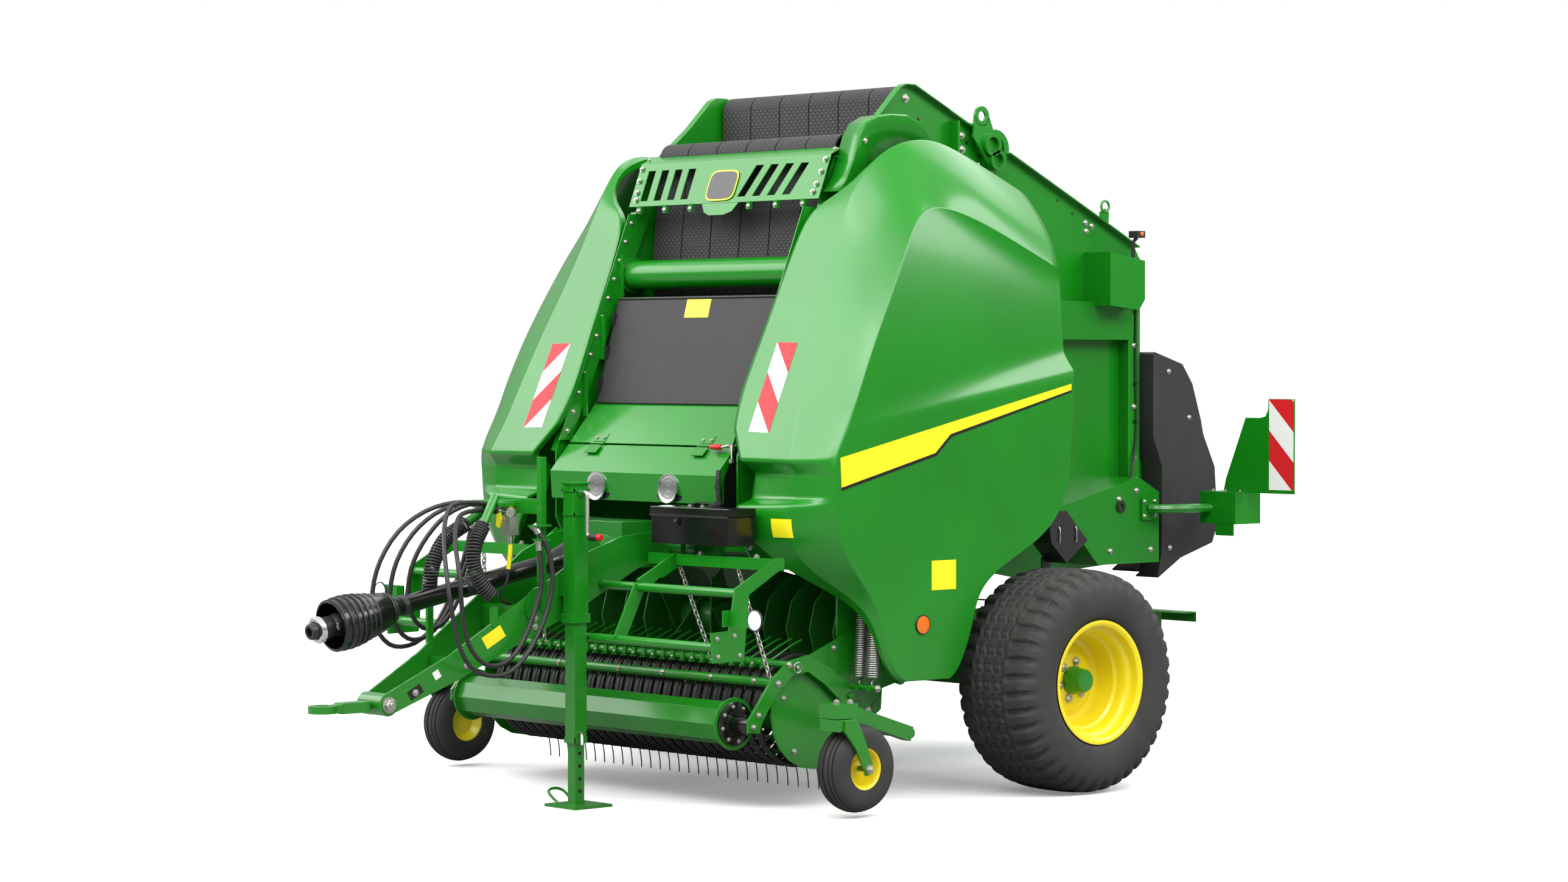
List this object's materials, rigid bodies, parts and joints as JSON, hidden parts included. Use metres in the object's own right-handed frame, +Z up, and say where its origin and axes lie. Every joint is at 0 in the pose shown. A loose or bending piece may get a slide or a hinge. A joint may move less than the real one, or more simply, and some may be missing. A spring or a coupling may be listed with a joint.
{
  "type": "round baler",
  "caption": "Towed round baler with a belted bale chamber, rear gate, side doors, tined pickup, drawbar with parking jack and two wheels.",
  "frame": {"origin": "middle of the machine's length and width, at ground level", "axes": "+X to the machine's left side, +Y to its rear, +Z up; it is towed towards -Y"},
  "size_m": [3.018, 4.802, 3.153],
  "materials": {
    "green_paint": "glossy paint on steel",
    "yellow_paint": "glossy paint on steel",
    "rubber": "matt moulded rubber",
    "tyre": "matt tyre rubber",
    "grey_plastic": "grained dark plastic",
    "black_gloss": "glossy black",
    "steel": "plain machined steel",
    "cast_green": "painted casting"
  },
  "bodies": {
    "baler": {"side_frame_left": "green_paint", "side_frame_right": "green_paint", "main_frame": "green_paint", "axle": "green_paint", "drawbar": "green_paint", "hitch_ring": "green_paint", "gearbox": "cast_green", "pto_guard": "black_gloss", "hose_holder": "green_paint", "jack_tube": "green_paint", "toolbox": "black_gloss", "front_guard_left": "green_paint", "front_guard_right": "green_paint", "front_hood": "green_paint", "net_cover": "grey_plastic", "grille_panel": "green_paint", "front_roller": "green_paint", "feed_housing": "green_paint", "front_belts": "rubber", "hose_outer": "rubber", "hose_middle": "rubber", "hose_inner": "rubber", "hose_long": "rubber", "hose_short": "rubber", "coil_cable_right": "rubber", "coil_cable_left": "rubber"},
    "wheel_left": {"wheel_tyre_left": "tyre", "wheel_rim_left": "yellow_paint"},
    "wheel_right": {"wheel_tyre_right": "tyre", "wheel_rim_right": "yellow_paint"},
    "gate": {"gate_side_left": "green_paint", "gate_side_right": "green_paint", "gate_back": "green_paint", "gate_belts": "rubber", "rear_cover_left": "grey_plastic", "rear_cover_right": "grey_plastic", "light_arm_left": "green_paint", "light_arm_right": "green_paint", "oil_tank": "grey_plastic"},
    "side_door_left": {"side_door_left": "green_paint"},
    "side_door_right": {"side_door_right": "green_paint"},
    "net_box_lid": {"net_box_lid": "green_paint"},
    "toolbox_lid": {"toolbox_lid": "black_gloss"},
    "jack_leg": {"jack_leg": "green_paint"},
    "jack_foot": {"jack_foot": "green_paint"},
    "pickup": {"pickup_frame": "green_paint", "pickup_bands": "grey_plastic", "gauge_arm_left": "green_paint", "gauge_arm_right": "green_paint"},
    "pickup_reel": {"pickup_reel": "grey_plastic"},
    "wind_guard": {"wind_guard": "green_paint"},
    "windrow_roller": {"windrow_roller": "green_paint"},
    "gauge_caster_left": {"gauge_caster_left": "green_paint"},
    "gauge_caster_right": {"gauge_caster_right": "green_paint"},
    "gauge_wheel_left": {"gauge_wheel_left": "tyre"},
    "gauge_wheel_right": {"gauge_wheel_right": "tyre"},
    "feed_rotor": {"feed_rotor": "green_paint"},
    "pto_shaft": {"pto_shaft": "steel"},
    "bale_ramp": {"bale_ramp": "green_paint"}
  },
  "joints": [
    {"name": "wheel_left_spin", "type": "hinge", "parent": "baler", "child": "wheel_left", "pos_m": [1.276, 0.769, 0.496], "axis": [1, 0, 0], "continuous": true},
    {"name": "wheel_right_spin", "type": "hinge", "parent": "baler", "child": "wheel_right", "pos_m": [-1.276, 0.769, 0.496], "axis": [1, 0, 0], "continuous": true},
    {"name": "gate_hinge", "type": "hinge", "parent": "baler", "child": "gate", "pos_m": [0, 0.969, 2.885], "axis": [1, 0, 0], "range_deg": [0, 60]},
    {"name": "side_door_left_hinge", "type": "hinge", "parent": "baler", "child": "side_door_left", "pos_m": [0.7, 0.869, 2.7033], "axis": [0, -0.9187, 0.395], "range_deg": [0, 55]},
    {"name": "side_door_right_hinge", "type": "hinge", "parent": "baler", "child": "side_door_right", "pos_m": [-0.7, 0.869, 2.7033], "axis": [0, 0.9187, -0.395], "range_deg": [0, 55]},
    {"name": "net_box_lid_hinge", "type": "hinge", "parent": "baler", "child": "net_box_lid", "pos_m": [0, -0.562, 1.537], "axis": [-1, 0, 0], "range_deg": [0, 95]},
    {"name": "toolbox_lid_hinge", "type": "hinge", "parent": "baler", "child": "toolbox_lid", "pos_m": [0.62, -0.718, 1.25], "axis": [-1, 0, 0], "range_deg": [0, 80]},
    {"name": "jack_leg_slide", "type": "slide", "parent": "baler", "child": "jack_leg", "axis": [0, 0, 1], "range_m": [0, 0.3]},
    {"name": "jack_foot_slide", "type": "slide", "parent": "jack_leg", "child": "jack_foot", "axis": [0, 0, 1], "range_m": [0, 0.25]},
    {"name": "pickup_lift", "type": "hinge", "parent": "baler", "child": "pickup", "pos_m": [0, -0.091, 0.74], "axis": [-1, 0, 0], "range_deg": [-1.5, 20]},
    {"name": "pickup_reel_spin", "type": "hinge", "parent": "pickup", "child": "pickup_reel", "pos_m": [0, -0.471, 0.345], "axis": [1, 0, 0], "continuous": true},
    {"name": "wind_guard_hinge", "type": "hinge", "parent": "pickup", "child": "wind_guard", "pos_m": [0, -0.316, 0.47], "axis": [-1, 0, 0], "range_deg": [0, 25]},
    {"name": "windrow_roller_spin", "type": "hinge", "parent": "wind_guard", "child": "windrow_roller", "pos_m": [0, -0.867, 0.378], "axis": [1, 0, 0], "continuous": true},
    {"name": "gauge_caster_left_swivel", "type": "hinge", "parent": "pickup", "child": "gauge_caster_left", "pos_m": [1.366, -0.706, 0.422], "axis": [0, 0, 1], "range_deg": [-30, 30]},
    {"name": "gauge_caster_right_swivel", "type": "hinge", "parent": "pickup", "child": "gauge_caster_right", "pos_m": [-1.366, -0.706, 0.422], "axis": [0, 0, 1], "range_deg": [-30, 30]},
    {"name": "gauge_wheel_left_spin", "type": "hinge", "parent": "gauge_caster_left", "child": "gauge_wheel_left", "pos_m": [1.366, -0.595, 0.209], "axis": [1, 0, 0], "continuous": true},
    {"name": "gauge_wheel_right_spin", "type": "hinge", "parent": "gauge_caster_right", "child": "gauge_wheel_right", "pos_m": [-1.366, -0.595, 0.209], "axis": [1, 0, 0], "continuous": true},
    {"name": "feed_rotor_spin", "type": "hinge", "parent": "baler", "child": "feed_rotor", "pos_m": [0, -0.091, 0.74], "axis": [1, 0, 0], "continuous": true},
    {"name": "pto_shaft_spin", "type": "hinge", "parent": "baler", "child": "pto_shaft", "pos_m": [0, -2.357, 0.8], "axis": [0, 0.9822, 0.1877], "continuous": true},
    {"name": "bale_ramp_hinge", "type": "hinge", "parent": "baler", "child": "bale_ramp", "pos_m": [0, 1.534, 0.608], "axis": [-1, 0, 0], "range_deg": [0, 18], "stiffness_Nm_per_rad": 600, "springref_deg": -45.84}
  ]
}
